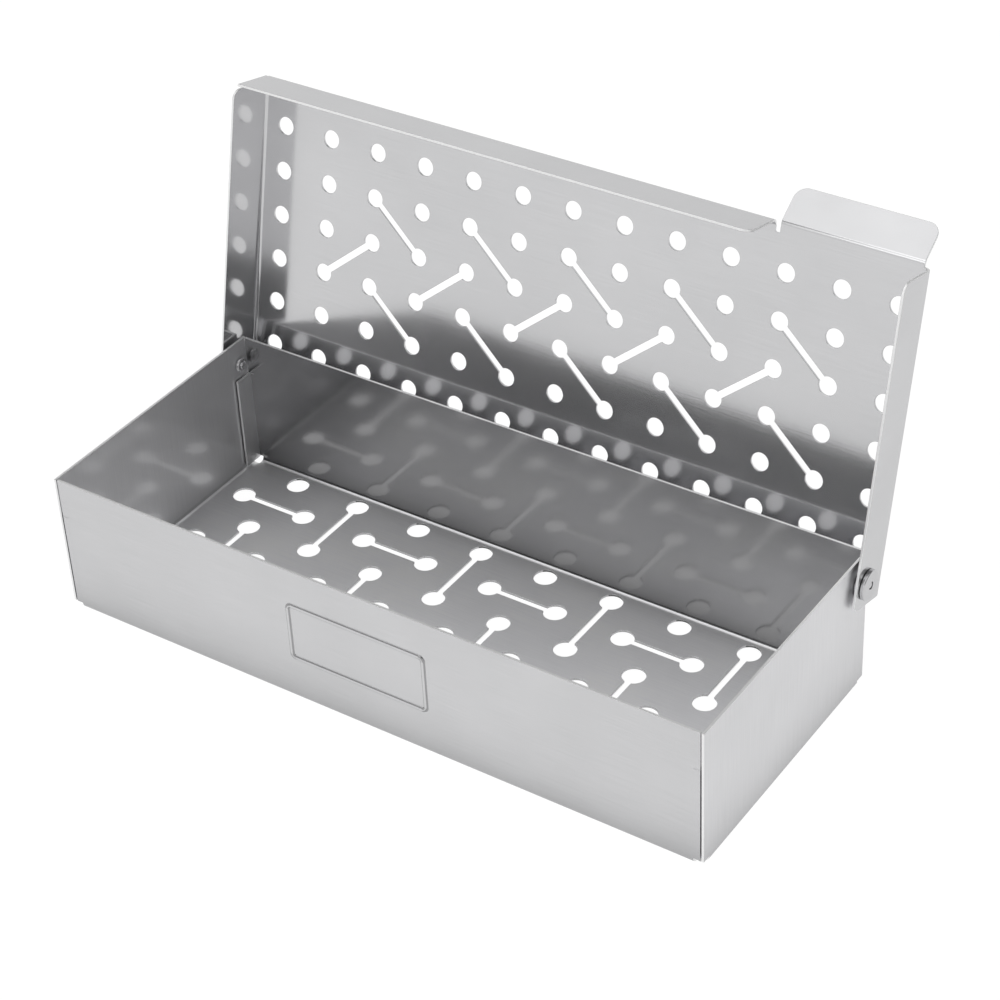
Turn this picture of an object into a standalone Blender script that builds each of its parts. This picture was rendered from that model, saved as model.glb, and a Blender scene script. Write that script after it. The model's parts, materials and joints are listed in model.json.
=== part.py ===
"""Grill smoker box, in metres, +Z up: an open tray folded from perforated stainless sheet, and a perforated
lid that swings on two rivets. The length runs along X and the front faces -Y. The lid stands open, leaning
back, and the origin is under the middle of the tray."""
import math

import bmesh
import bpy
from mathutils import Vector

for old in list(bpy.data.objects):
    bpy.data.objects.remove(old, do_unlink=True)

# Sheet: both folded pieces are cut from the same gauge
SHEET = 0.0008
INSIDE_BEND = 0.0014
SEAM = 0.0002
FOLD_STEPS = 4
QUARTER_TURN = math.radians(90)
FLATNESS = math.radians(1)

# Tray: outside sizes, then the tabs folded round inside its corners
TRAY_LENGTH = 0.2369
TRAY_WIDTH = 0.0965
TRAY_HEIGHT = 0.0506
CORNER_CUT = 0.0035
CORNER_RELIEF = 0.0010
CORNER_RISE = 0.0002
TAB_FOOT = 0.0018
TAB_BELOW_RIM = 0.0140
TAB_NOTCH = 0.0003
TAB_REACH = 0.0076

# Hinge: the axis below the rim and just in front of the back wall, then the rivets and their washers
HINGE_GAP = 0.0014
AXIS_BELOW_RIM = 0.0088
SHANK = 0.0032
RUNNING_GAP = 0.0003
SIDE_PLAY = 0.00025
HEAD = 0.0100
HEAD_THICK = 0.0013
HEAD_ROUND = 0.0005
TAIL = 0.0048
TAIL_THICK = 0.0015
TAIL_GAP = 0.0011
WASHER = 0.0090

# Lid: it fits round the tray with a gap on every side, and leans back when open
LID_RIM_GAP = 0.0018
LID_FRONT_GAP = 0.0063
REAR_REACH = 0.0077
SIDE_FLANGE = 0.0180
FRONT_FLANGE = 0.0170
FLANGE_CORNER = 0.0035
SLIT_WIDTH = 0.0017
SLIT_DEPTH = 0.0042
LIFT_TAB_WIDTH = 0.0468
LIFT_TAB_AHEAD = 0.0008
LIFT_TAB_LENGTH = 0.0121
LIFT_TAB_BEND = 0.0026
LIFT_TAB_CORNER = 0.0040
LIFT_TAB_ANGLE = math.radians(43.5)
LID_OPEN_ANGLE = math.radians(103.1)

# Perforation: round holes on a grid, many of them joined in pairs by a narrow slot
SLOT = 0.0023
FLOOR_HOLE = 0.0078
FLOOR_PITCH = 0.0254
FLOOR_ROW_PITCH = 0.0138
FLOOR_EDGE = 0.0006
LID_HOLE = 0.0061
LID_PITCH = 0.01865
LID_ROW_PITCH = 0.0154
LID_EDGE = 0.0030
LID_ASIDE = 0.0007
LID_FIRST_ROW = 0.0157
LID_LAST_ROW = 0.0140
HOLE_STEPS = 16

# Badge: a bare panel on the front wall, with a raised border round it
BADGE_LENGTH = 0.0515
BADGE_HEIGHT = 0.0217
BADGE_TO_LEFT = 0.0021
BADGE_ABOVE_MIDDLE = 0.0018
BADGE_CORNER = 0.0022
BADGE_BORDER = 0.0014
BADGE_PROUD = 0.0004

OVERRUN = 0.0020
TURNED_STEPS = 24

# Worked out from the sizes above
OUTSIDE_BEND = INSIDE_BEND + SHEET
AXIS_FROM_BACK = SHEET + TAIL_GAP + TAIL / 2
AXIS_Y = TRAY_WIDTH / 2 - AXIS_FROM_BACK
AXIS_Z = TRAY_HEIGHT - AXIS_BELOW_RIM
LID_LENGTH = TRAY_LENGTH + 2 * (HINGE_GAP + SHEET)
PANEL_RISE = AXIS_BELOW_RIM + LID_RIM_GAP + SHEET
FRONT_REACH = TRAY_WIDTH - AXIS_FROM_BACK + LID_FRONT_GAP + SHEET

box_parts = bpy.data.collections.new("grill_smoker_box")
tools = bpy.data.collections.new("cutters")
for collection in (box_parts, tools):
    bpy.context.scene.collection.children.link(collection)


def steel(name, colour, roughness):
    """Stainless steel as a Principled BSDF."""
    material = bpy.data.materials.new(name)
    material.use_nodes = True
    shader = material.node_tree.nodes["Principled BSDF"]
    shader.inputs["Base Color"].default_value = (*colour, 1)
    shader.inputs["Metallic"].default_value = 1
    shader.inputs["Roughness"].default_value = roughness
    return material


def add_part(name, mesh, material):
    part = bpy.data.objects.new(name, mesh)
    part.data.materials.append(material)
    box_parts.objects.link(part)
    return part


def add_tool(name, mesh):
    """A cutter, or a shape to be joined on: seen as wires and left out of the finished box."""
    tool = bpy.data.objects.new(name, mesh)
    tool.hide_render = True
    tool.display_type = "WIRE"
    tools.objects.link(tool)
    return tool


def mesh_of(net, name):
    bmesh.ops.recalc_face_normals(net, faces=net.faces)
    mesh = bpy.data.meshes.new(name)
    net.to_mesh(mesh)
    net.free()
    return mesh


# Folding: a net of flat faces at the middle of the sheet grows from its free edges
def free_edges(net, test):
    """The free edges whose two ends both pass the test."""
    return [edge for edge in net.edges if edge.is_boundary and all(test(vert.co) for vert in edge.verts)]


def run(net, edges, step):
    """Carries the sheet on flat from these edges, and returns the new far edges."""
    grown = bmesh.ops.extrude_edge_only(net, edges=edges)["geom"]
    corners = [item for item in grown if isinstance(item, bmesh.types.BMVert)]
    bmesh.ops.translate(net, vec=step, verts=corners)
    return [item for item in grown if isinstance(item, bmesh.types.BMEdge)]


def fold(net, edges, centre, axis, angle):
    """Bends the sheet round an axis from these edges, and returns the edges at the end of the bend."""
    start = [*edges, *{vert for edge in edges for vert in edge.verts}]
    turned = bmesh.ops.spin(net, geom=start, cent=centre, axis=axis, angle=angle, steps=FOLD_STEPS)
    return [item for item in turned["geom_last"] if isinstance(item, bmesh.types.BMEdge)]


def flat_sheet(x_range, y_range, height):
    """A net that starts as one rectangle."""
    net = bmesh.new()
    bmesh.ops.create_grid(net, x_segments=1, y_segments=1, size=1)
    half = Vector((x_range[1] - x_range[0], y_range[1] - y_range[0], 0)) / 2
    middle = Vector((sum(x_range) / 2, sum(y_range) / 2, height))
    for vert in net.verts:
        vert.co = Vector((vert.co.x * half.x, vert.co.y * half.y, 0)) + middle
    return net


def split_at(net, point, normal):
    bmesh.ops.bisect_plane(net, geom=[*net.verts, *net.edges, *net.faces], plane_co=point, plane_no=normal)


def round_corners(net, radius, test):
    corners = [vert for vert in net.verts if vert.is_boundary and test(vert.co)]
    bmesh.ops.bevel(
        net,
        geom=corners,
        affect="VERTICES",
        offset=radius,
        offset_type="OFFSET",
        segments=FOLD_STEPS,
        profile=0.5,
    )


def near(value, target):
    return abs(value - target) < SEAM / 10


def add_modifier(part, kind, **settings):
    modifier = part.modifiers.new(kind.title(), kind)
    for name, value in settings.items():
        setattr(modifier, name, value)
    return modifier


def give_thickness(part):
    """Joins the flat faces of a net, and makes it as thick as the sheet."""
    add_modifier(part, "DECIMATE", decimate_type="DISSOLVE", angle_limit=FLATNESS)
    add_modifier(
        part,
        "SOLIDIFY",
        solidify_mode="NON_MANIFOLD",
        nonmanifold_thickness_mode="CONSTRAINTS",
        thickness=SHEET,
        offset=0,
    )


# Punching: flat outlines, drawn as closed curves and given a depth
def arc(centre, radius, start, sweep, steps):
    turns = [start + sweep * step / steps for step in range(steps + 1)]
    return [centre + radius * Vector((math.cos(turn), math.sin(turn))) for turn in turns]


def round_hole(centre, hole):
    return arc(centre, hole / 2, 0, 2 * math.pi, HOLE_STEPS)[:-1]


def slotted_pair(first, second, hole):
    """Two round holes joined by a narrow slot."""
    along = math.atan2(second.y - first.y, second.x - first.x)
    mouth = math.asin(SLOT / hole)
    sweep = 2 * (math.pi - mouth)
    steps = HOLE_STEPS - 2
    return arc(first, hole / 2, along + mouth, sweep, steps) + arc(
        second, hole / 2, along + math.pi + mouth, sweep, steps
    )


def rounded_rectangle(centre, length, height, radius):
    outline = []
    for quarter, (side, end) in enumerate(((1, 1), (-1, 1), (-1, -1), (1, -1))):
        corner = centre + Vector((side * (length / 2 - radius), end * (height / 2 - radius)))
        outline += arc(corner, radius, quarter * QUARTER_TURN, QUARTER_TURN, FOLD_STEPS)
    return outline


def punch_mesh(name, outlines, depth):
    """One closed prism for each outline, as a mesh that a Boolean can use."""
    curve = bpy.data.curves.new(name, "CURVE")
    curve.dimensions = "2D"
    curve.fill_mode = "BOTH"
    curve.extrude = depth / 2
    for outline in outlines:
        spline = curve.splines.new("POLY")
        spline.points.add(len(outline) - 1)
        for point, place in zip(spline.points, outline):
            point.co = (*place, 0, 1)
        spline.use_cyclic_u = True
    drawn = add_tool(name + "_outline", curve)
    bpy.context.view_layer.update()
    mesh = bpy.data.meshes.new_from_object(drawn.evaluated_get(bpy.context.evaluated_depsgraph_get()))
    bpy.data.objects.remove(drawn)
    closed = bmesh.new()
    closed.from_mesh(mesh)
    bpy.data.meshes.remove(mesh)
    bmesh.ops.remove_doubles(closed, verts=closed.verts, dist=SEAM / 100)
    return mesh_of(closed, name)


def grid_outlines(place, columns, rows, pairs, hole):
    """Every hole of a grid: the pairs slotted together, the rest round."""
    paired = {spot for pair in pairs for spot in pair}
    spots = [(column, row) for row in range(rows) for column in range(columns)]
    singles = [round_hole(place(*spot), hole) for spot in spots if spot not in paired]
    return singles + [slotted_pair(place(*first), place(*second), hole) for first, second in pairs]


# Turned pieces: a profile run down its outer side and screwed round the rivet's axis
def turned_mesh(name, profile):
    mesh = bpy.data.meshes.new(name)
    mesh.from_pydata([(radius, 0, height) for radius, height in profile], [], [])
    mesh.edges.add(len(profile) - 1)
    for index, edge in enumerate(mesh.edges):
        edge.vertices = (index, index + 1)
    return mesh


def add_turned(name, mesh, side, material):
    """A turned piece on the hinge axis, its foot on the end wall and its own +Z pointing out of the box."""
    part = add_part(name, mesh, material)
    part.location = (side * TRAY_LENGTH / 2, AXIS_Y, AXIS_Z)
    part.rotation_euler.y = side * QUARTER_TURN
    add_modifier(
        part,
        "SCREW",
        steps=TURNED_STEPS,
        render_steps=TURNED_STEPS,
        use_merge_vertices=True,
        merge_threshold=SEAM / 10,
    )
    return part


# Tray: one quarter of the net, from the middle of the floor to a corner, mirrored both ways
def tray_net():
    floor_x = TRAY_LENGTH / 2 - OUTSIDE_BEND
    floor_y = -TRAY_WIDTH / 2 + OUTSIDE_BEND
    wall_x = TRAY_LENGTH / 2 - SHEET / 2
    wall_y = -TRAY_WIDTH / 2 + SHEET / 2
    seam_x = TRAY_LENGTH / 2 - SHEET - SEAM
    tab_x = seam_x - SHEET / 2
    front_end = TRAY_LENGTH / 2 - CORNER_CUT
    end_front = floor_y + CORNER_RELIEF
    tab_top = TRAY_HEIGHT - TAB_BELOW_RIM
    foot = OUTSIDE_BEND + CORNER_RISE

    net = flat_sheet((0, floor_x), (floor_y, 0), SHEET / 2)
    split_at(net, (front_end, 0, 0), (1, 0, 0))
    split_at(net, (0, end_front, 0), (0, 1, 0))
    corner = [face for face in net.faces if face.calc_center_median().x > front_end]
    corner = [face for face in corner if face.calc_center_median().y < end_front]
    bmesh.ops.delete(net, geom=corner, context="FACES")

    front = free_edges(net, lambda at: near(at.y, floor_y))
    front = fold(net, front, (0, floor_y, OUTSIDE_BEND), (1, 0, 0), -QUARTER_TURN)
    levels = (OUTSIDE_BEND, foot, tab_top, tab_top + TAB_NOTCH, TRAY_HEIGHT)
    for low, high in zip(levels, levels[1:]):
        front = run(net, front, (0, 0, high - low))

    end = free_edges(net, lambda at: near(at.x, floor_x))
    end = fold(net, end, (floor_x, 0, OUTSIDE_BEND), (0, 1, 0), -QUARTER_TURN)
    levels = (OUTSIDE_BEND, foot, TRAY_HEIGHT)
    for low, high in zip(levels, levels[1:]):
        end = run(net, end, (0, 0, high - low))

    side = free_edges(net, lambda at: near(at.x, front_end) and near(at.y, wall_y))
    tab = [edge for edge in side if near(max(vert.co.z for vert in edge.verts), tab_top)]
    upper = [edge for edge in side if near(max(vert.co.z for vert in edge.verts), TRAY_HEIGHT)]
    run(net, upper, (seam_x - front_end, 0, 0))
    tab = run(net, tab, (tab_x - front_end, 0, 0))
    run(net, tab, (0, TAB_REACH - SHEET / 2, 0))
    tab = free_edges(net, lambda at: near(at.x, tab_x) and near(at.z, foot))
    run(net, tab, (0, 0, TAB_FOOT - foot))

    side = free_edges(net, lambda at: near(at.x, wall_x) and near(at.y, end_front))
    side = [edge for edge in side if near(max(vert.co.z for vert in edge.verts), TRAY_HEIGHT)]
    run(net, side, (0, -OUTSIDE_BEND - CORNER_RELIEF, 0))
    return net


def count_between(span, pitch):
    """How many rows or columns a span takes, with one at each end of it."""
    return int(span / pitch) + 1


def floor_outlines():
    room_x = TRAY_LENGTH - 2 * OUTSIDE_BEND - 2 * FLOOR_EDGE - FLOOR_HOLE - FLOOR_PITCH / 2
    room_y = TRAY_WIDTH - 2 * OUTSIDE_BEND - 2 * FLOOR_EDGE - FLOOR_HOLE
    columns = count_between(room_x, FLOOR_PITCH)
    rows = count_between(room_y, FLOOR_ROW_PITCH)

    def place(column, row):
        """The rows run from back to front, each a quarter pitch to the right or left of centre in turn."""
        aside = FLOOR_PITCH / 4 if row % 2 == 0 else -FLOOR_PITCH / 4
        along = (column - (columns - 1) / 2) * FLOOR_PITCH + aside
        return Vector((along, ((rows - 1) / 2 - row) * FLOOR_ROW_PITCH))

    pairs = []
    for row in range(rows):
        for column in range(columns):
            turn = (column + row // 2) % 2
            if row % 2 == 0 and row + 2 < rows and turn == 1:
                pairs.append(((column, row), (column, row + 2)))
            if row % 2 == 1 and column + 1 < columns and turn == 0:
                pairs.append(((column, row), (column + 1, row)))
    return grid_outlines(place, columns, rows, pairs, FLOOR_HOLE)


tray_steel = steel("tray_steel", (0.62, 0.62, 0.63), 0.22)
tray = add_part("tray", mesh_of(tray_net(), "tray"), tray_steel)
add_modifier(tray, "MIRROR", use_axis=(True, True, False), use_clip=True, merge_threshold=SEAM / 10)
give_thickness(tray)

floor_punch = add_tool("floor_punch", punch_mesh("floor_punch", floor_outlines(), 2 * OVERRUN + SHEET))
floor_punch.location.z = SHEET / 2
add_modifier(tray, "BOOLEAN", object=floor_punch)

bore_outline = [round_hole(Vector((0, 0)), SHANK + 2 * RUNNING_GAP)]
rivet_bore = add_tool("rivet_bore", punch_mesh("rivet_bore", bore_outline, LID_LENGTH + 2 * OVERRUN))
rivet_bore.location = (0, AXIS_Y, AXIS_Z)
rivet_bore.rotation_euler.y = QUARTER_TURN
add_modifier(tray, "BOOLEAN", object=rivet_bore)

badge_centre = Vector((-BADGE_TO_LEFT, TRAY_HEIGHT / 2 + BADGE_ABOVE_MIDDLE))
badge_outlines = [
    rounded_rectangle(badge_centre, BADGE_LENGTH, BADGE_HEIGHT, BADGE_CORNER),
    rounded_rectangle(
        badge_centre,
        BADGE_LENGTH - 2 * BADGE_BORDER,
        BADGE_HEIGHT - 2 * BADGE_BORDER,
        BADGE_CORNER - BADGE_BORDER,
    ),
]
badge_border = add_tool("badge_border", punch_mesh("badge_border", badge_outlines, 2 * BADGE_PROUD))
badge_border.location.y = -TRAY_WIDTH / 2
badge_border.rotation_euler.x = QUARTER_TURN
add_modifier(tray, "BOOLEAN", object=badge_border, operation="UNION")


# Lid: folded shut round its own hinge axis at the origin, then leaned back with the axis
panel_x = LID_LENGTH / 2 - OUTSIDE_BEND
panel_front = -FRONT_REACH + OUTSIDE_BEND
panel_z = PANEL_RISE - SHEET / 2
lift_tab_end = panel_x - LIFT_TAB_WIDTH
front_flange_end = lift_tab_end - SLIT_WIDTH


def lid_net():
    under = PANEL_RISE - OUTSIDE_BEND
    net = flat_sheet((-panel_x, panel_x), (panel_front, REAR_REACH), panel_z)
    split_at(net, (front_flange_end, 0, 0), (1, 0, 0))
    split_at(net, (lift_tab_end, 0, 0), (1, 0, 0))

    for side in (-1, 1):
        edges = free_edges(net, lambda at, side=side: near(at.x, side * panel_x))
        edges = fold(net, edges, (side * panel_x, 0, under), (0, 1, 0), side * QUARTER_TURN)
        run(net, edges, (0, 0, OUTSIDE_BEND - SIDE_FLANGE))

    front = free_edges(net, lambda at: near(at.y, panel_front) and near(at.z, panel_z))
    flange = [edge for edge in front if max(vert.co.x for vert in edge.verts) < front_flange_end + SEAM / 2]
    tab = [edge for edge in front if min(vert.co.x for vert in edge.verts) > lift_tab_end - SEAM / 2]
    flange = fold(net, flange, (0, panel_front, under), (1, 0, 0), QUARTER_TURN)
    run(net, flange, (0, 0, OUTSIDE_BEND - FRONT_FLANGE))
    flange_y = -FRONT_REACH + SHEET / 2
    left = free_edges(net, lambda at: near(at.x, -panel_x) and near(at.y, flange_y))
    run(net, left, (SHEET + SEAM - OUTSIDE_BEND, 0, 0))

    tab = run(net, tab, (0, -LIFT_TAB_AHEAD, 0))
    tab_centre = (0, panel_front - LIFT_TAB_AHEAD, panel_z + LIFT_TAB_BEND)
    tab = fold(net, tab, tab_centre, (1, 0, 0), -LIFT_TAB_ANGLE)
    straight = LIFT_TAB_LENGTH - LIFT_TAB_BEND * math.tan(LIFT_TAB_ANGLE / 2)
    run(net, tab, straight * Vector((0, -math.cos(LIFT_TAB_ANGLE), math.sin(LIFT_TAB_ANGLE))))

    tab_middle = PANEL_RISE + straight / 2 * math.sin(LIFT_TAB_ANGLE)
    round_corners(net, LIFT_TAB_CORNER, lambda at: at.z > tab_middle)
    round_corners(net, FLANGE_CORNER, lambda at: near(at.z, PANEL_RISE - SIDE_FLANGE))
    front_foot = PANEL_RISE - FRONT_FLANGE
    round_corners(net, FLANGE_CORNER, lambda at: near(at.z, front_foot) and near(at.x, front_flange_end))
    return net


def lid_outlines():
    columns = count_between(2 * (panel_x - LID_EDGE) - LID_HOLE, LID_PITCH)
    rows = count_between(FRONT_REACH + REAR_REACH - LID_FIRST_ROW - LID_LAST_ROW, LID_ROW_PITCH)

    def place(column, row):
        """The rows run from the front edge to the back."""
        along = (column - (columns - 1) / 2) * LID_PITCH + LID_ASIDE
        return Vector((along, LID_FIRST_ROW - FRONT_REACH + row * LID_ROW_PITCH))

    pairs = []
    for row in range(1, rows - 2):
        lean = 1 if row % 2 == 1 else -1
        pairs += [((column, row), (column + lean, row + 1)) for column in range(2, columns - 1, 2)]
    slit_middle = Vector((front_flange_end + SLIT_WIDTH / 2, -FRONT_REACH))
    slit = rounded_rectangle(slit_middle, SLIT_WIDTH, 2 * SLIT_DEPTH, SLIT_WIDTH / 4)
    return grid_outlines(place, columns, rows, pairs, LID_HOLE) + [slit]


hinge_axis = bpy.data.objects.new("hinge_axis", None)
hinge_axis.location = (0, AXIS_Y, AXIS_Z)
hinge_axis.rotation_euler.x = -LID_OPEN_ANGLE
box_parts.objects.link(hinge_axis)

lid_steel = steel("lid_steel", (0.62, 0.62, 0.63), 0.22)
lid = add_part("lid", mesh_of(lid_net(), "lid"), lid_steel)
lid.parent = hinge_axis
give_thickness(lid)
lid_punch = add_tool("lid_punch", punch_mesh("lid_punch", lid_outlines(), 2 * OVERRUN + SHEET))
lid_punch.parent = hinge_axis
lid_punch.location.z = PANEL_RISE - SHEET / 2
add_modifier(lid, "BOOLEAN", object=lid_punch)
add_modifier(lid, "BOOLEAN", object=rivet_bore)

# Hinge: on each side a rivet from outside the flange to inside the end wall, and a washer in the gap
rivet_steel = steel("rivet_steel", (0.66, 0.66, 0.67), 0.25)
head_foot = HINGE_GAP + SHEET + SIDE_PLAY
head_top = head_foot + HEAD_THICK
tail_foot = -SHEET - SIDE_PLAY
head_edge = Vector((HEAD / 2 - HEAD_ROUND, head_top - HEAD_ROUND))
unit_quarter = arc(Vector((0, 0)), 1, 0, -QUARTER_TURN, FOLD_STEPS)
rivet_profile = [
    (0, head_top),
    *arc(head_edge, HEAD_ROUND, QUARTER_TURN, -QUARTER_TURN, FOLD_STEPS),
    (HEAD / 2, head_foot),
    (SHANK / 2, head_foot),
    (SHANK / 2, tail_foot),
    *((TAIL / 2 * at.x, tail_foot + TAIL_THICK * at.y) for at in unit_quarter),
]
rivet_mesh = turned_mesh("rivet", rivet_profile)
washer_foot = SIDE_PLAY
washer_top = HINGE_GAP - SIDE_PLAY
washer_bore = SHANK / 2 + RUNNING_GAP
washer_profile = [
    (washer_bore, washer_top),
    (WASHER / 2, washer_top),
    (WASHER / 2, washer_foot),
    (washer_bore, washer_foot),
    (washer_bore, washer_top),
]
washer_mesh = turned_mesh("washer", washer_profile)
for side_name, side in (("left", -1), ("right", 1)):
    add_turned("rivet_" + side_name, rivet_mesh, side, rivet_steel)
    add_turned("washer_" + side_name, washer_mesh, side, rivet_steel)
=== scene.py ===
"""The look of a grill smoker box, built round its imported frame: a folded and punched stainless tray, a
perforated lid that leans open, and the two rivets that the lid swings on. Metres, +Z up, front at -Y."""
import json
import math
import bmesh
import bpy
from mathutils import Matrix, Vector


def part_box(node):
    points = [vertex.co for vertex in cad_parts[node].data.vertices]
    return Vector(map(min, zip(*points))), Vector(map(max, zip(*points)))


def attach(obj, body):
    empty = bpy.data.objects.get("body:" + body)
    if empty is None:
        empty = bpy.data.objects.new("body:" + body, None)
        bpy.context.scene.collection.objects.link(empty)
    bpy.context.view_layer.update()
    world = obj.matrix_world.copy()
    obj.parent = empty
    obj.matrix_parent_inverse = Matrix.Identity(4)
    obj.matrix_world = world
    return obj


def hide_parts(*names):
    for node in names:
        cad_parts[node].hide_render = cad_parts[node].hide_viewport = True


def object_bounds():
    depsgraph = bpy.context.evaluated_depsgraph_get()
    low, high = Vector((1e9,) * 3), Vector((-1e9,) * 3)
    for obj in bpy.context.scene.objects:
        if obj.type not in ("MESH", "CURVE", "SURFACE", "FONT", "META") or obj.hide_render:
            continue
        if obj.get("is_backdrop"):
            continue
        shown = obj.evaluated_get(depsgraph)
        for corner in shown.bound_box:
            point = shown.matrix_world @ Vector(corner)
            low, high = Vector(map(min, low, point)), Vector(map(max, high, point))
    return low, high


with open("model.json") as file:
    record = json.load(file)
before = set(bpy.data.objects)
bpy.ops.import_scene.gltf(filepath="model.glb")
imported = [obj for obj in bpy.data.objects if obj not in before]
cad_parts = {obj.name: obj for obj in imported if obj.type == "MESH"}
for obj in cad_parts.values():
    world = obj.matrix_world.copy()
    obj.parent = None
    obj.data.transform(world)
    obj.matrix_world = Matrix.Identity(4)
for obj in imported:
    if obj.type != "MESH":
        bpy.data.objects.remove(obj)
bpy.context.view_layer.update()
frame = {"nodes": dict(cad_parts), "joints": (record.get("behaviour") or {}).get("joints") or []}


# Camera. It looks down on the box from the front right, from about three box lengths away, as the
# photograph does. The slight roll is the photograph's own.
VIEW_FROM = Vector((0.3963, -0.5266, 0.5357))
VIEW_TURN = math.radians(35.586)
VIEW_DOWN = math.radians(36.120)
VIEW_ROLL = math.radians(-3.074)
SENSOR_WIDTH = 36
FOCAL_LENGTH = 96.05
bpy.ops.object.camera_add()
camera = bpy.context.object
camera.matrix_world = (
    Matrix.Translation(VIEW_FROM)
    @ Matrix.Rotation(VIEW_TURN, 4, "Z")
    @ Matrix.Rotation(math.pi / 2 - VIEW_DOWN, 4, "X")
    @ Matrix.Rotation(VIEW_ROLL, 4, "Z")
)
camera.data.sensor_width = SENSOR_WIDTH
camera.data.lens = FOCAL_LENGTH
bpy.context.scene.camera = camera
bpy.context.scene.view_settings.view_transform = "Standard"


# Floor and light. A white studio floor in a room with bright low walls and dim air above them, a large soft
# lamp overhead and a smaller one in front. The camera and the metal see the floor paler than the lamps make
# it, and the rest of it is left to the lamps, so that it keeps the box's shadow.
class Field:
    """A socket's value. What changes over a surface is written with it as a Python expression."""

    def __init__(self, shader, socket):
        self.shader = shader
        self.socket = socket

    def math(self, operation, first, second):
        node = self.shader.add("ShaderNodeMath", {"operation": operation}, {0: first, 1: second})
        return Field(self.shader, node.outputs[0])

    def __add__(self, other):
        return self.math("ADD", self, other)

    def __sub__(self, other):
        return self.math("SUBTRACT", self, other)

    def __rsub__(self, other):
        return self.math("SUBTRACT", other, self)

    def __mul__(self, other):
        return self.math("MULTIPLY", self, other)

    def above(self, limit):
        return self.math("GREATER_THAN", self, limit)

    def size(self):
        return self.math("ABSOLUTE", self, 0)

    __radd__ = __add__
    __rmul__ = __mul__


class Shader:
    """The node tree of one material, or of the room."""

    def __init__(self, tree):
        self.tree = tree

    def add(self, kind, settings, values):
        """Adds a node. Its settings are set first, then its inputs, each by a value, a socket or a Field."""
        node = self.tree.nodes.new(kind)
        for name, value in settings.items():
            setattr(node, name, value)
        for name, value in values.items():
            self.feed(node, name, value)
        return node

    def feed(self, node, name, value):
        if isinstance(value, Field):
            value = value.socket
        if isinstance(value, bpy.types.NodeSocket):
            self.tree.links.new(value, node.inputs[name])
        else:
            node.inputs[name].default_value = value

    def field(self, kind, settings, values):
        return Field(self, self.add(kind, settings, values).outputs[0])


FLOOR_SIZE = 12
FLOOR_SEEN_WHITE = 0.85
FLOOR_MIRRORED_WHITE = 0.55
FLOOR_GLOW = 1.12
WHITE = (1, 1, 1, 1)
PAPER_WHITE = (0.9, 0.9, 0.9, 1)
bpy.ops.mesh.primitive_plane_add(size=FLOOR_SIZE)
floor = bpy.context.object
floor.name = "floor"
floor_material = bpy.data.materials.new("white_floor")
floor_material.use_nodes = True
floor_material.node_tree.nodes.clear()
shader = Shader(floor_material.node_tree)
paper = shader.add("ShaderNodeBsdfDiffuse", {}, {"Color": PAPER_WHITE})
glow = shader.add("ShaderNodeEmission", {}, {"Color": WHITE, "Strength": FLOOR_GLOW})
ray = shader.add("ShaderNodeLightPath", {}, {})
seen = Field(shader, ray.outputs["Is Camera Ray"]) * FLOOR_SEEN_WHITE
mirrored = Field(shader, ray.outputs["Is Glossy Ray"]) * FLOOR_MIRRORED_WHITE
both = {0: seen + mirrored, 1: paper.outputs[0], 2: glow.outputs[0]}
floor_look = shader.add("ShaderNodeMixShader", {}, both)
shader.add("ShaderNodeOutputMaterial", {}, {"Surface": floor_look.outputs[0]})
floor.data.materials.append(floor_material)
floor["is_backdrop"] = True

LOW_WALLS = 0.8
DIM_ROOM = 0.12
WALL_TOP = 0.42
WALL_FADE = 0.1
world = bpy.data.worlds.new("pale_room")
world.use_nodes = True
world.node_tree.nodes.clear()
bpy.context.scene.world = world
room = Shader(world.node_tree)
direction = room.add("ShaderNodeTexCoord", {}, {})
upwards = room.add("ShaderNodeSeparateXYZ", {}, {0: direction.outputs["Generated"]})
wall_light = room.field(
    "ShaderNodeMapRange",
    {"interpolation_type": "SMOOTHSTEP"},
    {0: upwards.outputs["Z"], 1: WALL_TOP - WALL_FADE, 2: WALL_TOP + WALL_FADE, 3: LOW_WALLS, 4: DIM_ROOM},
)
room_light = room.add("ShaderNodeBackground", {}, {"Color": WHITE, "Strength": wall_light})
backdrop = room.add("ShaderNodeBackground", {}, {"Color": WHITE, "Strength": 1})
ray = room.add("ShaderNodeLightPath", {}, {})
both = {0: ray.outputs["Is Camera Ray"], 1: room_light.outputs[0], 2: backdrop.outputs[0]}
room_look = room.add("ShaderNodeMixShader", {}, both)
room.add("ShaderNodeOutputWorld", {}, {"Surface": room_look.outputs[0]})

LAMP_AWAY = 2.2
LAMP_WHITE = 1.0
TOP_LAMP_SIZE = 2.8
TOP_LAMP_TOWARDS = Vector((-0.2, -0.1, 1))
FRONT_LAMP_SIZE = 1.2
FRONT_LAMP_TOWARDS = Vector((-0.10, -0.8, 0.54))


def add_soft_lamp(name, towards, size):
    """A square soft box that faces the smoker box. It adds LAMP_WHITE to what the metal mirrors there."""
    place = towards.normalized() * LAMP_AWAY
    bpy.ops.object.light_add(type="AREA", location=place)
    lamp = bpy.context.object
    lamp.name = name
    lamp.data.shape = "SQUARE"
    lamp.data.size = size
    lamp.data.energy = LAMP_WHITE * math.pi * size**2
    lamp.rotation_euler = (-place).to_track_quat("-Z", "Y").to_euler()


add_soft_lamp("top_lamp", TOP_LAMP_TOWARDS, TOP_LAMP_SIZE)
add_soft_lamp("front_lamp", FRONT_LAMP_TOWARDS, FRONT_LAMP_SIZE)


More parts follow.
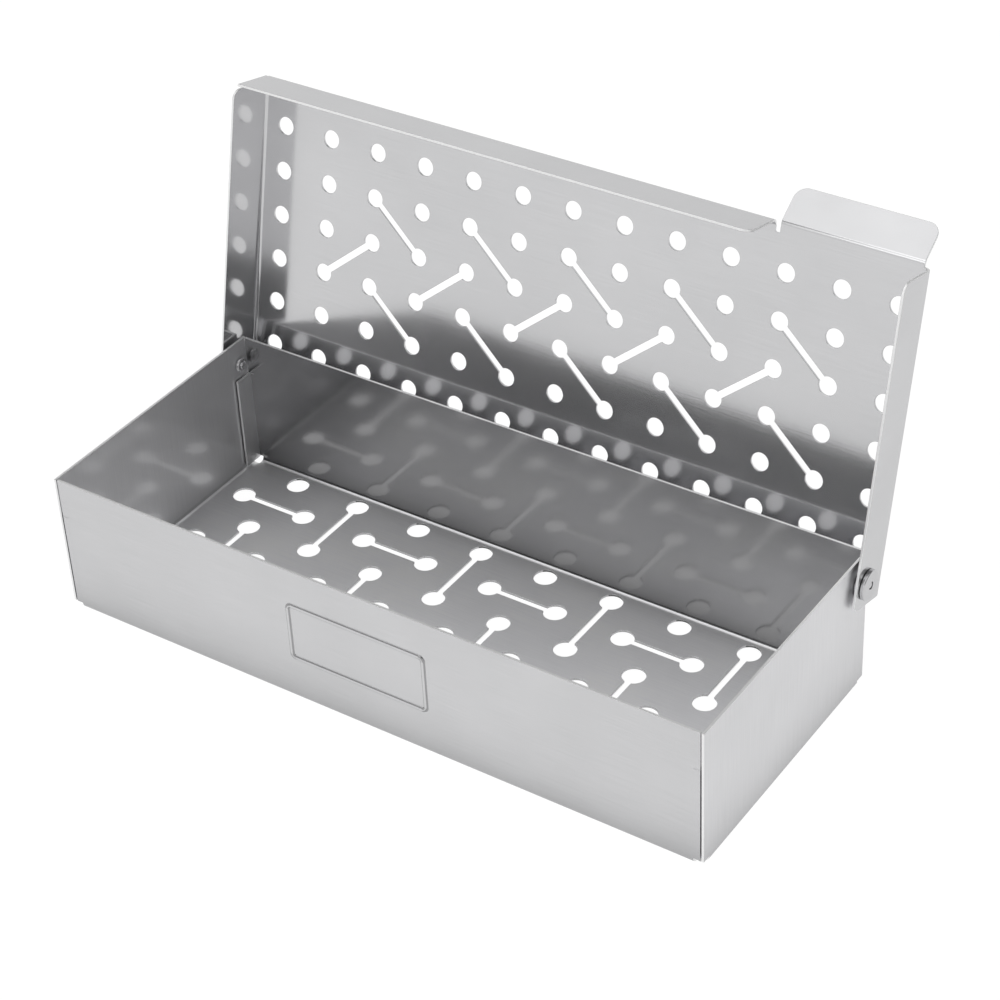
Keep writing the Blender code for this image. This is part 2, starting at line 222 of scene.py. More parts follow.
# Tray. One sheet of stainless steel, punched with round and slotted holes, then folded up on four sides.
# Tabs on the long walls turn inside the corners, and the end walls close over them. The front wall has a
# bare panel with a pressed border.
SHEET = 0.0008
INSIDE_BEND = 0.0014
BEND = INSIDE_BEND + SHEET
BEND_STEPS = 10
SEAM = 0.00045
EDGE_ROUND = 0.00014
EDGE_STEPS = 3
SMOOTH_BELOW = math.radians(38)
FLAT_BELOW = math.radians(1)
TOUCHING = 0.000004
QUARTER_TURN = math.pi / 2
tray_low, tray_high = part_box("tray")
TRAY_LENGTH = tray_high.x - tray_low.x
TRAY_WIDTH = 2 * tray_high.y
TRAY_HEIGHT = tray_high.z
CORNER_CUT = 0.0035
CORNER_RELIEF = 0.0010
CORNER_RISE = 0.0002
CORNER_FOOT = BEND + CORNER_RISE
TAB_FOOT = 0.0018
TAB_BELOW_RIM = 0.0140
TAB_TOP = TRAY_HEIGHT - TAB_BELOW_RIM
TAB_NOTCH = 0.0001
TAB_REACH = 0.0076


def near(value, target):
    return abs(value - target) < TOUCHING


def pick(kind, test):
    """Selects the corners, edges or faces of the mesh in edit mode whose corners all pass the test."""
    bpy.ops.mesh.select_mode(type=kind)
    bpy.ops.mesh.select_all(action="DESELECT")
    net = bmesh.from_edit_mesh(bpy.context.object.data)
    for item in {"VERT": net.verts, "EDGE": net.edges, "FACE": net.faces}[kind]:
        corners = [item] if kind == "VERT" else item.verts
        if all(test(corner.co) for corner in corners):
            item.select_set(True)
    net.select_flush_mode()
    bmesh.update_edit_mesh(bpy.context.object.data)


def pick_rim(test):
    """The same for the free edges of a sheet that has no thickness yet."""
    pick("EDGE", test)
    net = bmesh.from_edit_mesh(bpy.context.object.data)
    for edge in net.edges:
        if edge.select and not edge.is_boundary:
            edge.select_set(False)
    net.select_flush_mode()
    bmesh.update_edit_mesh(bpy.context.object.data)


def run(step):
    """Carries the sheet on flat from the chosen edges."""
    bpy.ops.mesh.extrude_edges_move(TRANSFORM_OT_translate={"value": step})


def fold(centre, axis, angle):
    """Bends the sheet from the chosen edges round an axis."""
    bpy.ops.mesh.spin(steps=BEND_STEPS, angle=angle, center=centre, axis=axis)


def start_sheet(name, low, high, height):
    """A flat rectangle at the middle of the sheet's thickness, left in edit mode."""
    bpy.ops.object.select_all(action="DESELECT")
    bpy.ops.mesh.primitive_plane_add(size=1, enter_editmode=True)
    bpy.context.object.name = name
    bpy.ops.transform.resize(value=(high[0] - low[0], high[1] - low[1], 1))
    bpy.ops.transform.translate(value=((low[0] + high[0]) / 2, (low[1] + high[1]) / 2, height))
    return bpy.context.object


def split_at(point, across):
    """Cuts what is selected along a plane, and leaves both sides."""
    bpy.ops.mesh.bisect(plane_co=point, plane_no=across)


def choose(piece):
    bpy.ops.object.select_all(action="DESELECT")
    piece.select_set(True)
    bpy.context.view_layer.objects.active = piece


def edit(piece):
    """Opens the piece in edit mode with all of it selected."""
    choose(piece)
    bpy.ops.object.mode_set(mode="EDIT")
    bpy.ops.mesh.select_all(action="SELECT")


def apply_modifier(piece, kind, **settings):
    bpy.context.view_layer.objects.active = piece
    modifier = piece.modifiers.new(kind, kind)
    for name, value in settings.items():
        setattr(modifier, name, value)
    bpy.ops.object.modifier_apply(modifier=modifier.name)


def flatten_net(piece):
    """Merges what the folds and the mirror left double, and makes each flat of the net one face."""
    edit(piece)
    bpy.ops.mesh.remove_doubles(threshold=TOUCHING)
    bpy.ops.mesh.dissolve_limited(angle_limit=FLAT_BELOW)
    bpy.ops.mesh.select_all(action="SELECT")
    bpy.ops.mesh.normals_make_consistent(inside=False)


def thicken(piece):
    """Gives the net the sheet's thickness, and breaks the sharp edges that shearing left. The sheared edges
    take the second of two material slots."""
    bpy.ops.object.mode_set(mode="OBJECT")
    piece.data.materials.append(None)
    piece.data.materials.append(None)
    apply_modifier(
        piece,
        "SOLIDIFY",
        thickness=SHEET,
        offset=0,
        use_even_offset=True,
        use_quality_normals=True,
        material_offset_rim=1,
    )
    apply_modifier(
        piece, "BEVEL", width=EDGE_ROUND, segments=EDGE_STEPS, limit_method="ANGLE", angle_limit=SMOOTH_BELOW
    )


# A quarter of the tray is folded, at the front right, and mirrored.
floor_x = TRAY_LENGTH / 2 - BEND
floor_y = TRAY_WIDTH / 2 - BEND
wall_x = TRAY_LENGTH / 2 - SHEET / 2
wall_y = -TRAY_WIDTH / 2 + SHEET / 2
seam_x = TRAY_LENGTH / 2 - SHEET - SEAM
tab_x = seam_x - SHEET / 2
front_end = TRAY_LENGTH / 2 - CORNER_CUT
end_front = CORNER_RELIEF - floor_y
tray = start_sheet("tray_sheet", (0, -floor_y), (floor_x, 0), SHEET / 2)
for point, across in (((front_end, 0, 0), (1, 0, 0)), ((0, end_front, 0), (0, 1, 0))):
    bpy.ops.mesh.select_all(action="SELECT")
    split_at(point, across)
pick("FACE", lambda at: at.x > front_end - TOUCHING and at.y < end_front + TOUCHING)
bpy.ops.mesh.delete(type="FACE")
pick_rim(lambda at: near(at.y, -floor_y))
fold((0, -floor_y, BEND), (1, 0, 0), QUARTER_TURN)
front_levels = (BEND, CORNER_FOOT, TAB_TOP, TAB_TOP + TAB_NOTCH, TRAY_HEIGHT)
for low, high in zip(front_levels, front_levels[1:]):
    run((0, 0, high - low))
pick_rim(lambda at: near(at.x, floor_x))
fold((floor_x, 0, BEND), (0, 1, 0), QUARTER_TURN)
end_levels = (BEND, CORNER_FOOT, TRAY_HEIGHT)
for low, high in zip(end_levels, end_levels[1:]):
    run((0, 0, high - low))


def on_front_end(at):
    return near(at.x, front_end) and near(at.y, wall_y)


pick_rim(lambda at: on_front_end(at) and at.z > TAB_TOP + TAB_NOTCH - TOUCHING)
run((seam_x - front_end, 0, 0))
pick_rim(lambda at: on_front_end(at) and CORNER_FOOT - TOUCHING < at.z < TAB_TOP + TOUCHING)
run((tab_x - front_end, 0, 0))
run((0, TAB_REACH - SHEET / 2, 0))
pick_rim(lambda at: near(at.x, tab_x) and near(at.z, CORNER_FOOT))
run((0, 0, TAB_FOOT - CORNER_FOOT))
pick_rim(lambda at: near(at.x, wall_x) and near(at.y, end_front) and at.z > CORNER_FOOT - TOUCHING)
run((0, -CORNER_RELIEF - BEND, 0))
bpy.ops.object.mode_set(mode="OBJECT")
apply_modifier(tray, "MIRROR", use_axis=(True, True, False), use_clip=True, merge_threshold=TOUCHING)
flatten_net(tray)

# The panel on the front wall stands inside a raised border with soft slopes.
PANEL_LEFT = -0.02785
PANEL_RIGHT = 0.02365
PANEL_FOOT = 0.01625
PANEL_TOP = 0.03795
PANEL_MARGIN = 0.0004
PANEL_CORNER = 0.0022
PANEL_CORNER_STEPS = 8
BORDER = 0.0014
BORDER_PROUD = 0.00039
BORDER_SLOPE = 0.0004
SLOPE_STEPS = 4
for point, across in (
    ((PANEL_LEFT - PANEL_MARGIN, 0, 0), (1, 0, 0)),
    ((PANEL_RIGHT + PANEL_MARGIN, 0, 0), (1, 0, 0)),
    ((0, 0, PANEL_FOOT - PANEL_MARGIN), (0, 0, 1)),
    ((0, 0, PANEL_TOP + PANEL_MARGIN), (0, 0, 1)),
):
    pick("FACE", lambda at: near(at.y, wall_y))
    split_at(point, across)


def on_panel(margin):
    """A test for corners on the front wall inside the panel, or on its outline."""
    return (
        lambda at: near(at.y, wall_y)
        and PANEL_LEFT - margin - TOUCHING < at.x < PANEL_RIGHT + margin + TOUCHING
        and PANEL_FOOT - margin - TOUCHING < at.z < PANEL_TOP + margin + TOUCHING
    )


pick("FACE", on_panel(PANEL_MARGIN))
bpy.ops.mesh.delete(type="ONLY_FACE")
panel_middle = ((PANEL_LEFT + PANEL_RIGHT) / 2, wall_y, (PANEL_FOOT + PANEL_TOP) / 2)
panel_size = (PANEL_RIGHT - PANEL_LEFT, 1, PANEL_TOP - PANEL_FOOT)
bpy.ops.mesh.select_all(action="DESELECT")
bpy.ops.mesh.primitive_plane_add(size=1, location=panel_middle, rotation=(QUARTER_TURN, 0, 0))
bpy.ops.transform.resize(value=panel_size, center_override=panel_middle)
bpy.ops.mesh.select_mode(type="VERT")
bpy.ops.mesh.bevel(offset=PANEL_CORNER, segments=PANEL_CORNER_STEPS, affect="VERTICES")
pick_rim(on_panel(PANEL_MARGIN))
bpy.ops.mesh.bridge_edge_loops()
pick("FACE", on_panel(0))
heights = [BORDER_PROUD * (1 - math.cos(math.pi * step / SLOPE_STEPS)) / 2 for step in range(SLOPE_STEPS + 1)]
rises = [high - low for low, high in zip(heights, heights[1:])]
for rise in rises:
    bpy.ops.mesh.inset(thickness=BORDER_SLOPE / SLOPE_STEPS, depth=0)
    bpy.ops.transform.translate(value=(0, -rise, 0))
bpy.ops.mesh.inset(thickness=BORDER - 2 * BORDER_SLOPE, depth=0)
for rise in rises:
    bpy.ops.mesh.inset(thickness=BORDER_SLOPE / SLOPE_STEPS, depth=0)
    bpy.ops.transform.translate(value=(0, rise, 0))
thicken(tray)

# A punch is modelled once, a little wider at both faces of the sheet so that it leaves a broken edge, then
# copied to every place that it strikes.
HOLE_SIDES = 48
HOLE_EDGE = 0.00006
SLOT = 0.0023
SLIVER = 0.000001


def round_punch(diameter):
    """A round punch round the origin, left in edit mode."""
    wide = diameter / 2 + 2 * HOLE_EDGE
    narrow = diameter / 2 / wide
    foot = (0, 0, -SHEET / 2 - HOLE_EDGE)
    bpy.ops.object.select_all(action="DESELECT")
    bpy.ops.mesh.primitive_circle_add(
        vertices=HOLE_SIDES, radius=wide, fill_type="NGON", location=foot, enter_editmode=True
    )
    for rise, widen in ((2 * HOLE_EDGE, narrow), (SHEET - 2 * HOLE_EDGE, 1), (2 * HOLE_EDGE, 1 / narrow)):
        bpy.ops.mesh.extrude_region_move(TRANSFORM_OT_translate={"value": (0, 0, rise)})
        bpy.ops.transform.resize(value=(widen, widen, 1), center_override=(0, 0, 0))
    return bpy.context.object


def slot_punch(length, width):
    """A straight punch along X round the origin, left in edit mode."""
    wide = width + 4 * HOLE_EDGE
    bpy.ops.object.select_all(action="DESELECT")
    bpy.ops.mesh.primitive_cube_add(size=1, enter_editmode=True)
    bpy.ops.transform.resize(value=(length, wide, SHEET + 2 * HOLE_EDGE))
    for level in (HOLE_EDGE - SHEET / 2, SHEET / 2 - HOLE_EDGE):
        bpy.ops.mesh.select_all(action="SELECT")
        split_at((0, 0, level), (0, 0, 1))
    pick("VERT", lambda at: abs(at.z) < SHEET / 2)
    bpy.ops.transform.resize(value=(1, width / wide, 1), center_override=(0, 0, 0))
    return bpy.context.object


def strike(piece, punch, spots, turn=0):
    """Cuts the piece with copies of the punch at all the spots, and clears the slivers that this leaves."""
    bpy.ops.mesh.select_all(action="SELECT")
    bpy.ops.mesh.normals_make_consistent(inside=False)
    bpy.ops.object.mode_set(mode="OBJECT")
    punch.rotation_euler.z = turn
    bpy.ops.object.transform_apply(location=True, rotation=True, scale=True)
    bpy.ops.object.mode_set(mode="EDIT")
    bpy.ops.mesh.select_all(action="SELECT")
    bpy.ops.transform.translate(value=spots[0])
    for last, spot in zip(spots, spots[1:]):
        bpy.ops.mesh.duplicate_move(TRANSFORM_OT_translate={"value": spot - last})
    bpy.ops.object.mode_set(mode="OBJECT")
    apply_modifier(piece, "BOOLEAN", object=punch, solver="EXACT")
    bpy.data.objects.remove(punch)
    edit(piece)
    bpy.ops.mesh.dissolve_degenerate(threshold=SLIVER)
    bpy.ops.object.mode_set(mode="OBJECT")


FLOOR_HOLE = 0.0078
FLOOR_PITCH = 0.0254
FLOOR_ROW_PITCH = 0.0138
FLOOR_COLUMNS = 9
FLOOR_ROWS = 7


def floor_place(column, row):
    """The rows run from back to front, each a quarter pitch to the right or left of centre in turn."""
    aside = FLOOR_PITCH / 4 if row % 2 == 0 else -FLOOR_PITCH / 4
    along = (column - (FLOOR_COLUMNS - 1) / 2) * FLOOR_PITCH + aside
    return Vector((along, ((FLOOR_ROWS - 1) / 2 - row) * FLOOR_ROW_PITCH, SHEET / 2))


grid = [(column, row) for row in range(FLOOR_ROWS) for column in range(FLOOR_COLUMNS)]
strike(tray, round_punch(FLOOR_HOLE), [floor_place(*spot) for spot in grid])
crossways = []
lengthways = []
for column, row in grid:
    turn = (column + row // 2) % 2
    if row % 2 == 0 and row + 2 < FLOOR_ROWS and turn == 1:
        crossways.append((floor_place(column, row) + floor_place(column, row + 2)) / 2)
    if row % 2 == 1 and column + 1 < FLOOR_COLUMNS and turn == 0:
        lengthways.append((floor_place(column, row) + floor_place(column + 1, row)) / 2)
strike(tray, slot_punch(2 * FLOOR_ROW_PITCH, SLOT), crossways, QUARTER_TURN)
strike(tray, slot_punch(FLOOR_PITCH, SLOT), lengthways)

SHANK = 0.0032
BORE = SHANK + 0.0006
AXIS = Vector(frame["joints"][0]["pos_m"])


def drill_bores(piece):
    """The two rivet holes, on the hinge axis."""
    bpy.ops.object.select_all(action="DESELECT")
    bpy.ops.mesh.primitive_cylinder_add(
        vertices=HOLE_SIDES,
        radius=BORE / 2,
        depth=2 * TRAY_LENGTH,
        location=AXIS,
        rotation=(0, QUARTER_TURN, 0),
    )
    drill = bpy.context.object
    apply_modifier(piece, "BOOLEAN", object=drill, solver="EXACT")
    bpy.data.objects.remove(drill)


def shade(piece):
    """Round bends and flat flats, with a crisp line only at the sheared edges."""
    choose(piece)
    bpy.ops.object.shade_smooth_by_angle(angle=SMOOTH_BELOW)
    apply_modifier(piece, "WEIGHTED_NORMAL", mode="FACE_AREA", weight=100, keep_sharp=True)


drill_bores(tray)
shade(tray)

# Brushed stainless steel. Grain and clouds are counted in waves to the metre. The gloss has two parts, a
# clear mirror and a haze. The tray's colour also has light and shade painted into it.
GRAIN_ALONG = 50
GRAIN_ACROSS = 2200
END_GRAIN_SHIFT = 7
CLOUDS = 28
NOISE_DETAIL = 3
FACING = 0.7
TONE = 0.87
CLOUD_TONE = 0.14
GRAIN_TONE = 0.12
CLEAR = 0.04
CLOUD_ROUGHNESS = 0.06
GRAIN_ROUGHNESS = 0.03
RIPPLE = 0.000004
CLOUD_RIPPLE = 8
HAZE_SHARE = 0.18
HAZE_ROUGHNESS = 0.5
# Painted light and shade for the tray: the flats and the end walls are painted brighter, and the inside of
# the back wall, the foot of the walls and the steep creases of the panel's border are painted darker.
FLAT_PAINTED_LIGHT = 1.15
END_PAINTED_LIGHT = 0.5
BACK_PAINTED_SHADE = 1.3
BACK_FROM = 0.04
FOOT_PAINTED_SHADE_FADE = 125
BORDER_PAINTED_SHADE = 1.3
BORDER_STEEP = 0.15
BORDER_WITHIN = 0.06
BORDER_FRONT = 0.048
BORDER_FOOT = 0.01


def steel(name, grey, roughness, lean=0, flat_haze=0, end_haze=0, painted_shading=0):
    """The grain runs along the sheet's length, and up the end walls where it is folded. Lean turns it with
    the lid. More of the gloss is hazy where the sheet lies flat or closes an end. The last argument paints
    light and shade into the colour: the flats and the ends are painted brighter, and the walls are painted
    darker towards the floor, inside the back and in the creases of the border."""
    material = bpy.data.materials.new(name)
    material.use_nodes = True
    shader = Shader(material.node_tree)
    mirror = material.node_tree.nodes["Principled BSDF"]
    coordinates = shader.add("ShaderNodeTexCoord", {}, {})
    turned = {"Rotation": (lean, 0, 0)}
    place = shader.add("ShaderNodeMapping", {}, {"Vector": coordinates.outputs["Object"], **turned})
    facing = shader.add(
        "ShaderNodeMapping", {"vector_type": "NORMAL"}, {"Vector": coordinates.outputs["Normal"], **turned}
    )
    spot = shader.add("ShaderNodeSeparateXYZ", {}, {0: place.outputs[0]})
    side = shader.add("ShaderNodeSeparateXYZ", {}, {0: facing.outputs[0]})
    x, y, z = (Field(shader, spot.outputs[axis]) for axis in "XYZ")
    side_x, side_y, side_z = (Field(shader, side.outputs[axis]) for axis in "XYZ")
    on_end = side_x.size().above(FACING)
    on_flat = side_z.size().above(FACING)
    along = x * (1 - on_end) + z * on_end
    across = y + z * (1 - on_end)
    grain_at = shader.add(
        "ShaderNodeCombineXYZ",
        {},
        {"X": along * GRAIN_ALONG, "Y": across * GRAIN_ACROSS, "Z": on_end * END_GRAIN_SHIFT},
    )
    noise = {"Scale": 1, "Detail": NOISE_DETAIL}
    grain = shader.field("ShaderNodeTexNoise", {}, {**noise, "Vector": grain_at.outputs[0]})
    cloud = shader.field("ShaderNodeTexNoise", {}, {**noise, "Vector": place.outputs[0], "Scale": CLOUDS})
    # Painted shade on the inside of the back wall.
    inside_back = y.above(BACK_FROM) * (side_y * -1).above(FACING)
    # A painted shadow: the walls are darker towards the floor.
    foot = shader.field("ShaderNodeMath", {"operation": "EXPONENT"}, {0: z * -FOOT_PAINTED_SHADE_FADE})
    # Painted shade in the steep creases of the panel's pressed border.
    steep = (side_x.size() + side_z.size()).above(BORDER_STEEP)
    near_panel = (x.size() * -1).above(-BORDER_WITHIN) * (y * -1).above(BORDER_FRONT) * z.above(BORDER_FOOT)
    # Painted light on the upward faces and the end walls, and painted shade on the other walls.
    light = FLAT_PAINTED_LIGHT * on_flat + END_PAINTED_LIGHT * on_end - BACK_PAINTED_SHADE * inside_back - foot * (1 - on_flat)
    tone = TONE + CLOUD_TONE * cloud + GRAIN_TONE * grain
    # The painted light and shade, and the painted shade in the border's creases, scaled by the last argument.
    tone = tone * (1 + painted_shading * light) * (1 - painted_shading * BORDER_PAINTED_SHADE * near_panel * steep)
    # Inputs 6 and 7 of a Mix node are its two colours.
    tint = shader.add(
        "ShaderNodeMix", {"data_type": "RGBA", "blend_type": "MULTIPLY"}, {"Factor": 1, 6: grey, 7: tone}
    )
    ripple = shader.add(
        "ShaderNodeBump", {}, {"Strength": 1, "Distance": RIPPLE, "Height": grain + CLOUD_RIPPLE * cloud}
    )
    shader.feed(mirror, "Metallic", 1)
    shader.feed(mirror, "Base Color", tint.outputs[2])
    shader.feed(mirror, "Roughness", roughness - CLEAR + CLOUD_ROUGHNESS * cloud + GRAIN_ROUGHNESS * grain)
    shader.feed(mirror, "Normal", ripple.outputs[0])
    haze = shader.add("ShaderNodeBsdfPrincipled", {}, {"Metallic": 1, "Roughness": HAZE_ROUGHNESS})
    shader.feed(haze, "Base Color", tint.outputs[2])
    shader.feed(haze, "Normal", ripple.outputs[0])
    share = HAZE_SHARE + on_flat * flat_haze + on_end * end_haze
    finish = shader.add("ShaderNodeMixShader", {}, {0: share, 1: mirror.outputs[0], 2: haze.outputs[0]})
    shader.feed(material.node_tree.nodes["Material Output"], "Surface", finish.outputs[0])
    return material


STEEL_GREY = (0.70, 0.70, 0.71, 1)
BRUSHED = 0.12
SHEARED_GREY = (1, 1, 1, 1)
SHEARED = 0.5
SHEARED_HAZE = 0.8
FLOOR_HAZE = 0.7
END_WALL_HAZE = 0.65
# How strongly light and shade are painted into the tray's colour.
TRAY_PAINTED_SHADING = 0.35
sheared_steel = steel(
    "sheared_steel_edge", SHEARED_GREY, SHEARED, flat_haze=SHEARED_HAZE, end_haze=SHEARED_HAZE
)
tray.data.materials[0] = steel(
    "tray_brushed_steel", STEEL_GREY, BRUSHED, flat_haze=FLOOR_HAZE, end_haze=END_WALL_HAZE, painted_shading=TRAY_PAINTED_SHADING
)
tray.data.materials[1] = sheared_steel
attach(tray, "tray_body")
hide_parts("tray")


# Lid. One perforated sheet with a flange down each side and along the front, a rounded slit, and a lift tab
# bent outwards beside it. It is modelled shut, round its own hinge axis, and then leaned back.
HINGE_GAP = 0.0014
RIM_GAP = 0.0018
FRONT_GAP = 0.0063
LID_RISE = TRAY_HEIGHT - AXIS.z + RIM_GAP + SHEET
FRONT_REACH = TRAY_WIDTH / 2 + AXIS.y + FRONT_GAP + SHEET
REAR_REACH = 0.0077
SIDE_FLANGE = 0.0180
FRONT_FLANGE = 0.0170
FLANGE_CORNER = 0.0035
CORNER_STEPS = 8
SLIT_WIDTH = 0.0017
SLIT_DEPTH = 0.0042
LIFT_TAB_WIDTH = 0.0468
LIFT_TAB_AHEAD = 0.0008
LIFT_TAB_LENGTH = 0.0121
LIFT_TAB_BEND = 0.0026
LIFT_TAB_CORNER = 0.0040
LIFT_TAB_ANGLE = math.radians(43.5)
LID_OPEN_ANGLE = math.radians(103.1)
LID_LENGTH = TRAY_LENGTH + 2 * (HINGE_GAP + SHEET)
lid_x = LID_LENGTH / 2 - BEND
lid_front = BEND - FRONT_REACH
lid_z = LID_RISE - SHEET / 2
flange_y = SHEET / 2 - FRONT_REACH
tab_start = lid_x - LIFT_TAB_WIDTH
flange_end = tab_start - SLIT_WIDTH
under = LID_RISE - BEND


def on_lid_front(at):
    return near(at.y, lid_front) and near(at.z, lid_z)


lid = start_sheet("lid_sheet", (-lid_x, lid_front), (lid_x, REAR_REACH), lid_z)
for line in (flange_end, tab_start):
    bpy.ops.mesh.select_all(action="SELECT")
    split_at((line, 0, 0), (1, 0, 0))
for side in (-1, 1):
    pick_rim(lambda at: near(at.x, side * lid_x))
    fold((side * lid_x, 0, under), (0, 1, 0), -side * QUARTER_TURN)
    run((0, 0, BEND - SIDE_FLANGE))
pick_rim(lambda at: on_lid_front(at) and at.x < flange_end + SEAM / 2)
fold((0, lid_front, under), (1, 0, 0), -QUARTER_TURN)
run((0, 0, BEND - FRONT_FLANGE))
pick_rim(lambda at: near(at.x, -lid_x) and near(at.y, flange_y))
run((SHEET + SEAM - BEND, 0, 0))
pick_rim(lambda at: on_lid_front(at) and at.x > tab_start - SEAM / 2)
run((0, -LIFT_TAB_AHEAD, 0))
fold((0, lid_front - LIFT_TAB_AHEAD, lid_z + LIFT_TAB_BEND), (1, 0, 0), LIFT_TAB_ANGLE)
tab_flat = LIFT_TAB_LENGTH - LIFT_TAB_BEND * math.tan(LIFT_TAB_ANGLE / 2)
run((0, -tab_flat * math.cos(LIFT_TAB_ANGLE), tab_flat * math.sin(LIFT_TAB_ANGLE)))


def round_corners(radius, test):
    pick("VERT", test)
    bpy.ops.mesh.bevel(offset=radius, segments=CORNER_STEPS, affect="VERTICES")


round_corners(LIFT_TAB_CORNER, lambda at: at.z > LID_RISE + tab_flat * math.sin(LIFT_TAB_ANGLE) / 2)
round_corners(FLANGE_CORNER, lambda at: near(at.z, LID_RISE - SIDE_FLANGE))
round_corners(FLANGE_CORNER, lambda at: near(at.z, LID_RISE - FRONT_FLANGE) and near(at.x, flange_end))
bpy.ops.object.mode_set(mode="OBJECT")
flatten_net(lid)
thicken(lid)

LID_HOLE = 0.0061
LID_PITCH = 0.01865
LID_ROW_PITCH = 0.0154
LID_FIRST_ROW = 0.0157
LID_ASIDE = 0.0007
LID_COLUMNS = 13
LID_ROWS = 6


def lid_place(column, row):
    """The rows run from the front edge to the back."""
    along = (column - (LID_COLUMNS - 1) / 2) * LID_PITCH + LID_ASIDE
    return Vector((along, LID_FIRST_ROW - FRONT_REACH + row * LID_ROW_PITCH, lid_z))


grid = [(column, row) for row in range(LID_ROWS) for column in range(LID_COLUMNS)]
strike(lid, round_punch(LID_HOLE), [lid_place(*spot) for spot in grid])
slant = math.atan2(LID_ROW_PITCH, LID_PITCH)
slot_length = math.hypot(LID_PITCH, LID_ROW_PITCH)
for lean, first_row in ((1, 1), (-1, 2)):
    spots = [
        (lid_place(column, row) + lid_place(column + lean, row + 1)) / 2
        for row in range(first_row, LID_ROWS - 2, 2)
        for column in range(2, LID_COLUMNS - 1, 2)
    ]
    strike(lid, slot_punch(slot_length, SLOT), spots, lean * slant)

# The slit beside the lift tab has a round end.
slit_low = (flange_end, -2 * FRONT_REACH)
slit_high = (tab_start, SLIT_DEPTH - FRONT_REACH)
slit = start_sheet("slit_punch", slit_low, slit_high, lid_z - SHEET)
pick("VERT", lambda at: at.y > -FRONT_REACH)
bpy.ops.mesh.bevel(offset=SLIT_WIDTH / 3, segments=CORNER_STEPS, affect="VERTICES")
bpy.ops.mesh.select_all(action="SELECT")
bpy.ops.mesh.extrude_region_move(TRANSFORM_OT_translate={"value": (0, 0, 2 * SHEET)})
bpy.ops.mesh.select_all(action="SELECT")
bpy.ops.mesh.normals_make_consistent(inside=False)
bpy.ops.object.mode_set(mode="OBJECT")
apply_modifier(lid, "BOOLEAN", object=slit, solver="EXACT")
bpy.data.objects.remove(slit)

choose(lid)
lid.rotation_euler.x = -LID_OPEN_ANGLE
lid.location = AXIS
bpy.ops.object.transform_apply(location=True, rotation=True, scale=True)
drill_bores(lid)
shade(lid)
lid.data.materials[0] = steel("lid_brushed_steel", STEEL_GREY, BRUSHED, LID_OPEN_ANGLE)
lid.data.materials[1] = sheared_steel
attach(lid, "lid_body")
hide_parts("lid")


# Rivets. Two large-flange blind rivets of stainless steel, set from outside: the flat head keeps the broken
# stem in its centre hole, and inside the tray the shank is upset over the stem's round end.
HEAD = 0.0100
HEAD_ROUND = 0.0005
HEAD_PLAY = 0.00025
TAIL = 0.0048
TAIL_THICK = 0.0015
TAIL_ROUND = 0.0008
TAIL_ROUND_HEIGHT = 0.0005
STEM = 0.0019
STEM_END_ROUND = 0.0006
STEM_END_PROUD = 0.0008
STEM_END_SPREAD = 0.0003
STEM_BELOW_HEAD = 0.0003
STEM_BREAK = 0.0002
STEM_HOLE = 0.0026
STEM_HOLE_BREAK = 0.0001
STEM_HOLE_DEPTH = 0.0007
RIVET_GREY = (0.66, 0.66, 0.67, 1)
TUMBLED = 0.2
TURNED_STEPS = 48
ROUNDING_STEPS = 6


def turn_out(name, profile):
    """A turned solid round Z: a disc that is raised and resized from ring to ring."""
    bpy.ops.object.select_all(action="DESELECT")
    radius, height = profile[0]
    bpy.ops.mesh.primitive_circle_add(
        vertices=TURNED_STEPS, radius=radius, fill_type="NGON", location=(0, 0, height), enter_editmode=True
    )
    bpy.context.object.name = name
    for (radius, height), (next_radius, next_height) in zip(profile, profile[1:]):
        bpy.ops.mesh.extrude_region_move(TRANSFORM_OT_translate={"value": (0, 0, next_height - height)})
        grow = next_radius / radius
        bpy.ops.transform.resize(value=(grow, grow, 1), center_override=(0, 0, 0))
    bpy.ops.mesh.select_all(action="SELECT")
    bpy.ops.mesh.normals_make_consistent(inside=False)
    bpy.ops.object.mode_set(mode="OBJECT")
    bpy.ops.object.transform_apply(location=True, rotation=True, scale=True)
    return bpy.context.object


def quarter_round(centre_radius, centre_height, radius, rise, start):
    """Rings of a rounded edge, for a quarter turn from start."""
    turns = [start + QUARTER_TURN * step / ROUNDING_STEPS for step in range(ROUNDING_STEPS + 1)]
    return [
        (centre_radius + radius * math.cos(turn), centre_height + rise * math.sin(turn)) for turn in turns
    ]


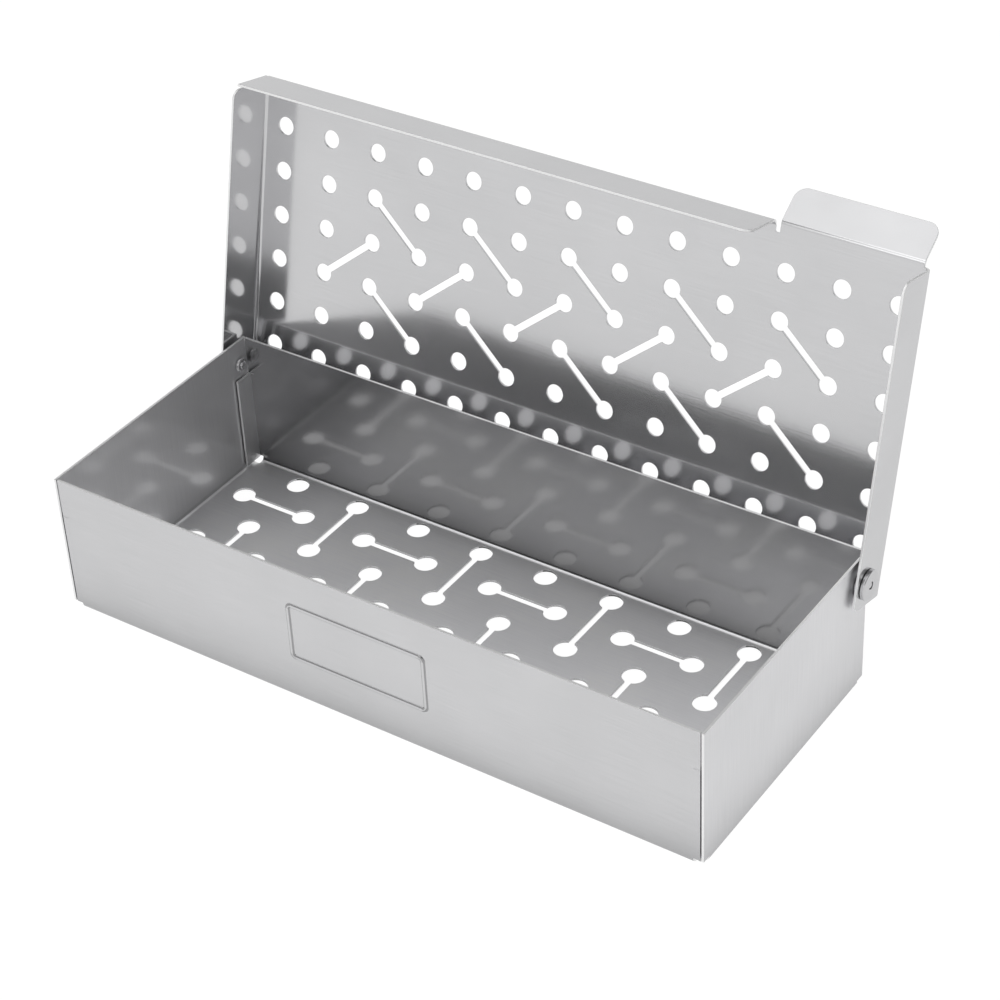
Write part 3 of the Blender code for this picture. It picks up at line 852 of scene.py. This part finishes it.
rivet_low, rivet_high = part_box("rivet_right")
stem_end = rivet_low.x
head_top = rivet_high.x
head_foot = TRAY_LENGTH / 2 + HINGE_GAP + SHEET + HEAD_PLAY
tail_foot = stem_end + TAIL_THICK
tip = STEM / 2 - STEM_END_SPREAD
rivet_rings = [
    (tip, stem_end),
    *quarter_round(tip, stem_end + STEM_END_ROUND, STEM_END_ROUND, STEM_END_ROUND, -QUARTER_TURN)[1:],
    (STEM / 2 + STEM_END_SPREAD, stem_end + STEM_END_PROUD),
    *quarter_round(
        TAIL / 2 - TAIL_ROUND, tail_foot - TAIL_ROUND_HEIGHT, TAIL_ROUND, TAIL_ROUND_HEIGHT, -QUARTER_TURN
    ),
    (TAIL / 2, tail_foot),
    (SHANK / 2, tail_foot),
    (SHANK / 2, head_foot),
    (HEAD / 2, head_foot),
    *quarter_round(HEAD / 2 - HEAD_ROUND, head_top - HEAD_ROUND, HEAD_ROUND, HEAD_ROUND, 0),
    (STEM_HOLE / 2 + STEM_HOLE_BREAK, head_top),
    (STEM_HOLE / 2, head_top - STEM_HOLE_BREAK),
    (STEM_HOLE / 2, head_top - STEM_HOLE_DEPTH),
    (STEM / 2, head_top - STEM_HOLE_DEPTH),
    (STEM / 2, head_top - STEM_BELOW_HEAD),
    (STEM / 2 - STEM_BREAK, head_top - STEM_BREAK),
]
rivet_steel = steel("rivet_turned_steel", RIVET_GREY, TUMBLED)
for name, side in (("left", -1), ("right", 1)):
    rivet = turn_out("rivet_pin_" + name, rivet_rings)
    rivet.rotation_euler.y = side * QUARTER_TURN
    rivet.location = (0, AXIS.y, AXIS.z)
    bpy.ops.object.transform_apply(location=True, rotation=True, scale=True)
    shade(rivet)
    rivet.data.materials.append(rivet_steel)
    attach(rivet, "tray_body")
    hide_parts("rivet_" + name)


# Washers. One plain flat washer on each rivet keeps the flange clear of the end wall.
for name in ("washer_left", "washer_right"):
    frame["nodes"][name].data.materials[0] = rivet_steel


# Sizes. The box of all that is drawn, the floor left out.
low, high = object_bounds()
